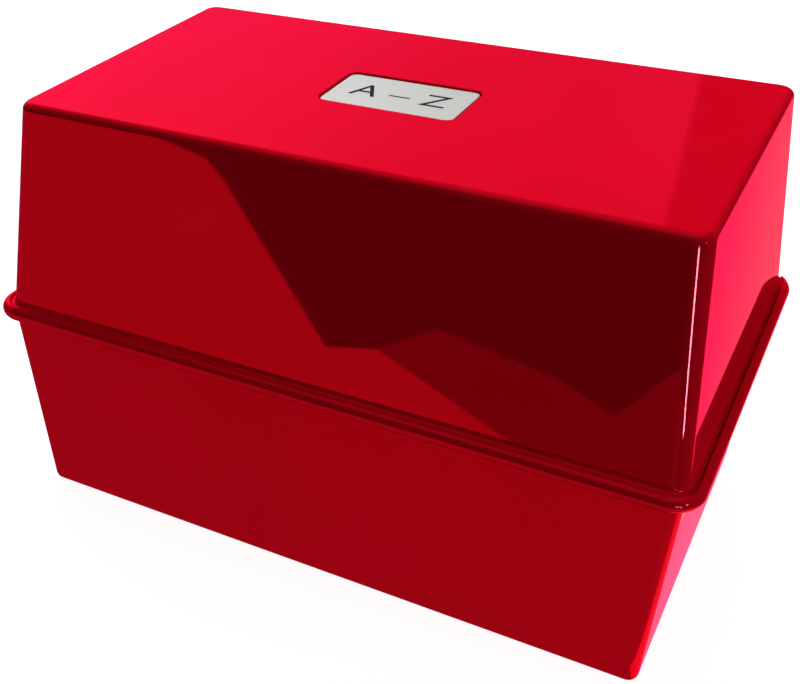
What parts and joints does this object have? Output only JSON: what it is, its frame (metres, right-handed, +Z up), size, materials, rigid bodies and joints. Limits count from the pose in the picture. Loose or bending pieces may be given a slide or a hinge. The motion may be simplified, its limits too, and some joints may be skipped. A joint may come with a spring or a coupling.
{
  "type": "card index box",
  "caption": "Flip-top box for 5 x 3 inch cards: drafted tray with a round rim bead, hinged cover with an inset plate, and tabbed A to Z guides that fan forward.",
  "frame": {"origin": "middle of the box's footprint, on the surface it stands on", "axes": "+Z up, -Y towards the front of the box, X along the hinge at the back"},
  "size_m": [0.1502, 0.0912, 0.092],
  "materials": {
    "red_plastic": "high gloss moulded polystyrene",
    "silver_plate": "satin silver plate",
    "guide_card": "matt buff card"
  },
  "bodies": {
    "base": {"base": "red_plastic"},
    "lid": {"lid": "red_plastic", "badge": "silver_plate"},
    "guide_a": {"guide_a": "guide_card"},
    "guide_b": {"guide_b": "guide_card"},
    "guide_c": {"guide_c": "guide_card"},
    "guide_d": {"guide_d": "guide_card"},
    "guide_e": {"guide_e": "guide_card"},
    "guide_f": {"guide_f": "guide_card"},
    "guide_g": {"guide_g": "guide_card"},
    "guide_h": {"guide_h": "guide_card"},
    "guide_i": {"guide_i": "guide_card"},
    "guide_j": {"guide_j": "guide_card"},
    "guide_k": {"guide_k": "guide_card"},
    "guide_l": {"guide_l": "guide_card"},
    "guide_m": {"guide_m": "guide_card"},
    "guide_n": {"guide_n": "guide_card"},
    "guide_o": {"guide_o": "guide_card"},
    "guide_p": {"guide_p": "guide_card"},
    "guide_q": {"guide_q": "guide_card"},
    "guide_r": {"guide_r": "guide_card"},
    "guide_s": {"guide_s": "guide_card"},
    "guide_t": {"guide_t": "guide_card"},
    "guide_u": {"guide_u": "guide_card"},
    "guide_v": {"guide_v": "guide_card"},
    "guide_w": {"guide_w": "guide_card"},
    "guide_xyz": {"guide_xyz": "guide_card"}
  },
  "joints": [
    {"name": "lid_hinge", "type": "hinge", "parent": "base", "child": "lid", "pos_m": [0, 0.044, 0.048], "axis": [-1, 0, 0], "range_deg": [0, 105]},
    {"name": "guide_fan", "type": "hinge", "parent": "base", "child": "guide_a", "pos_m": [0, -0.0237, 0.0025], "axis": [1, 0, 0], "range_deg": [0, 10]},
    {"name": "guide_b_tilt", "type": "hinge", "parent": "base", "child": "guide_b", "pos_m": [0, -0.0218, 0.0025], "axis": [1, 0, 0], "range_deg": [0, 9.59]},
    {"name": "guide_c_tilt", "type": "hinge", "parent": "base", "child": "guide_c", "pos_m": [0, -0.0199, 0.0025], "axis": [1, 0, 0], "range_deg": [0, 9.18]},
    {"name": "guide_d_tilt", "type": "hinge", "parent": "base", "child": "guide_d", "pos_m": [0, -0.018, 0.0025], "axis": [1, 0, 0], "range_deg": [0, 8.76]},
    {"name": "guide_e_tilt", "type": "hinge", "parent": "base", "child": "guide_e", "pos_m": [0, -0.0161, 0.0025], "axis": [1, 0, 0], "range_deg": [0, 8.34]},
    {"name": "guide_f_tilt", "type": "hinge", "parent": "base", "child": "guide_f", "pos_m": [0, -0.0142, 0.0025], "axis": [1, 0, 0], "range_deg": [0, 7.93]},
    {"name": "guide_g_tilt", "type": "hinge", "parent": "base", "child": "guide_g", "pos_m": [0, -0.0123, 0.0025], "axis": [1, 0, 0], "range_deg": [0, 7.51]},
    {"name": "guide_h_tilt", "type": "hinge", "parent": "base", "child": "guide_h", "pos_m": [0, -0.0104, 0.0025], "axis": [1, 0, 0], "range_deg": [0, 7.09]},
    {"name": "guide_i_tilt", "type": "hinge", "parent": "base", "child": "guide_i", "pos_m": [0, -0.0085, 0.0025], "axis": [1, 0, 0], "range_deg": [0, 6.68]},
    {"name": "guide_j_tilt", "type": "hinge", "parent": "base", "child": "guide_j", "pos_m": [0, -0.0066, 0.0025], "axis": [1, 0, 0], "range_deg": [0, 6.26]},
    {"name": "guide_k_tilt", "type": "hinge", "parent": "base", "child": "guide_k", "pos_m": [0, -0.0047, 0.0025], "axis": [1, 0, 0], "range_deg": [0, 5.84]},
    {"name": "guide_l_tilt", "type": "hinge", "parent": "base", "child": "guide_l", "pos_m": [0, -0.0028, 0.0025], "axis": [1, 0, 0], "range_deg": [0, 5.43]},
    {"name": "guide_m_tilt", "type": "hinge", "parent": "base", "child": "guide_m", "pos_m": [0, -0.0009, 0.0025], "axis": [1, 0, 0], "range_deg": [0, 5.01]},
    {"name": "guide_n_tilt", "type": "hinge", "parent": "base", "child": "guide_n", "pos_m": [0, 0.001, 0.0025], "axis": [1, 0, 0], "range_deg": [0, 4.59]},
    {"name": "guide_o_tilt", "type": "hinge", "parent": "base", "child": "guide_o", "pos_m": [0, 0.0029, 0.0025], "axis": [1, 0, 0], "range_deg": [0, 4.18]},
    {"name": "guide_p_tilt", "type": "hinge", "parent": "base", "child": "guide_p", "pos_m": [0, 0.0048, 0.0025], "axis": [1, 0, 0], "range_deg": [0, 3.76]},
    {"name": "guide_q_tilt", "type": "hinge", "parent": "base", "child": "guide_q", "pos_m": [0, 0.0067, 0.0025], "axis": [1, 0, 0], "range_deg": [0, 3.34]},
    {"name": "guide_r_tilt", "type": "hinge", "parent": "base", "child": "guide_r", "pos_m": [0, 0.0086, 0.0025], "axis": [1, 0, 0], "range_deg": [0, 2.93]},
    {"name": "guide_s_tilt", "type": "hinge", "parent": "base", "child": "guide_s", "pos_m": [0, 0.0105, 0.0025], "axis": [1, 0, 0], "range_deg": [0, 2.51]},
    {"name": "guide_t_tilt", "type": "hinge", "parent": "base", "child": "guide_t", "pos_m": [0, 0.0124, 0.0025], "axis": [1, 0, 0], "range_deg": [0, 2.09]},
    {"name": "guide_u_tilt", "type": "hinge", "parent": "base", "child": "guide_u", "pos_m": [0, 0.0143, 0.0025], "axis": [1, 0, 0], "range_deg": [0, 1.68]},
    {"name": "guide_v_tilt", "type": "hinge", "parent": "base", "child": "guide_v", "pos_m": [0, 0.0162, 0.0025], "axis": [1, 0, 0], "range_deg": [0, 1.26]},
    {"name": "guide_w_tilt", "type": "hinge", "parent": "base", "child": "guide_w", "pos_m": [0, 0.0181, 0.0025], "axis": [1, 0, 0], "range_deg": [0, 0.843]},
    {"name": "guide_xyz_tilt", "type": "hinge", "parent": "base", "child": "guide_xyz", "pos_m": [0, 0.02, 0.0025], "axis": [1, 0, 0], "range_deg": [0, 0.427]}
  ],
  "couplings": [
    {"joint": "guide_b_tilt", "follows": "guide_fan", "ratio": 0.95833},
    {"joint": "guide_c_tilt", "follows": "guide_fan", "ratio": 0.91667},
    {"joint": "guide_d_tilt", "follows": "guide_fan", "ratio": 0.875},
    {"joint": "guide_e_tilt", "follows": "guide_fan", "ratio": 0.83333},
    {"joint": "guide_f_tilt", "follows": "guide_fan", "ratio": 0.79167},
    {"joint": "guide_g_tilt", "follows": "guide_fan", "ratio": 0.75},
    {"joint": "guide_h_tilt", "follows": "guide_fan", "ratio": 0.70833},
    {"joint": "guide_i_tilt", "follows": "guide_fan", "ratio": 0.66667},
    {"joint": "guide_j_tilt", "follows": "guide_fan", "ratio": 0.625},
    {"joint": "guide_k_tilt", "follows": "guide_fan", "ratio": 0.58333},
    {"joint": "guide_l_tilt", "follows": "guide_fan", "ratio": 0.54167},
    {"joint": "guide_m_tilt", "follows": "guide_fan", "ratio": 0.5},
    {"joint": "guide_n_tilt", "follows": "guide_fan", "ratio": 0.45833},
    {"joint": "guide_o_tilt", "follows": "guide_fan", "ratio": 0.41667},
    {"joint": "guide_p_tilt", "follows": "guide_fan", "ratio": 0.375},
    {"joint": "guide_q_tilt", "follows": "guide_fan", "ratio": 0.33333},
    {"joint": "guide_r_tilt", "follows": "guide_fan", "ratio": 0.29167},
    {"joint": "guide_s_tilt", "follows": "guide_fan", "ratio": 0.25},
    {"joint": "guide_t_tilt", "follows": "guide_fan", "ratio": 0.20833},
    {"joint": "guide_u_tilt", "follows": "guide_fan", "ratio": 0.16667},
    {"joint": "guide_v_tilt", "follows": "guide_fan", "ratio": 0.125},
    {"joint": "guide_w_tilt", "follows": "guide_fan", "ratio": 0.08333},
    {"joint": "guide_xyz_tilt", "follows": "guide_fan", "ratio": 0.04167}
  ]
}
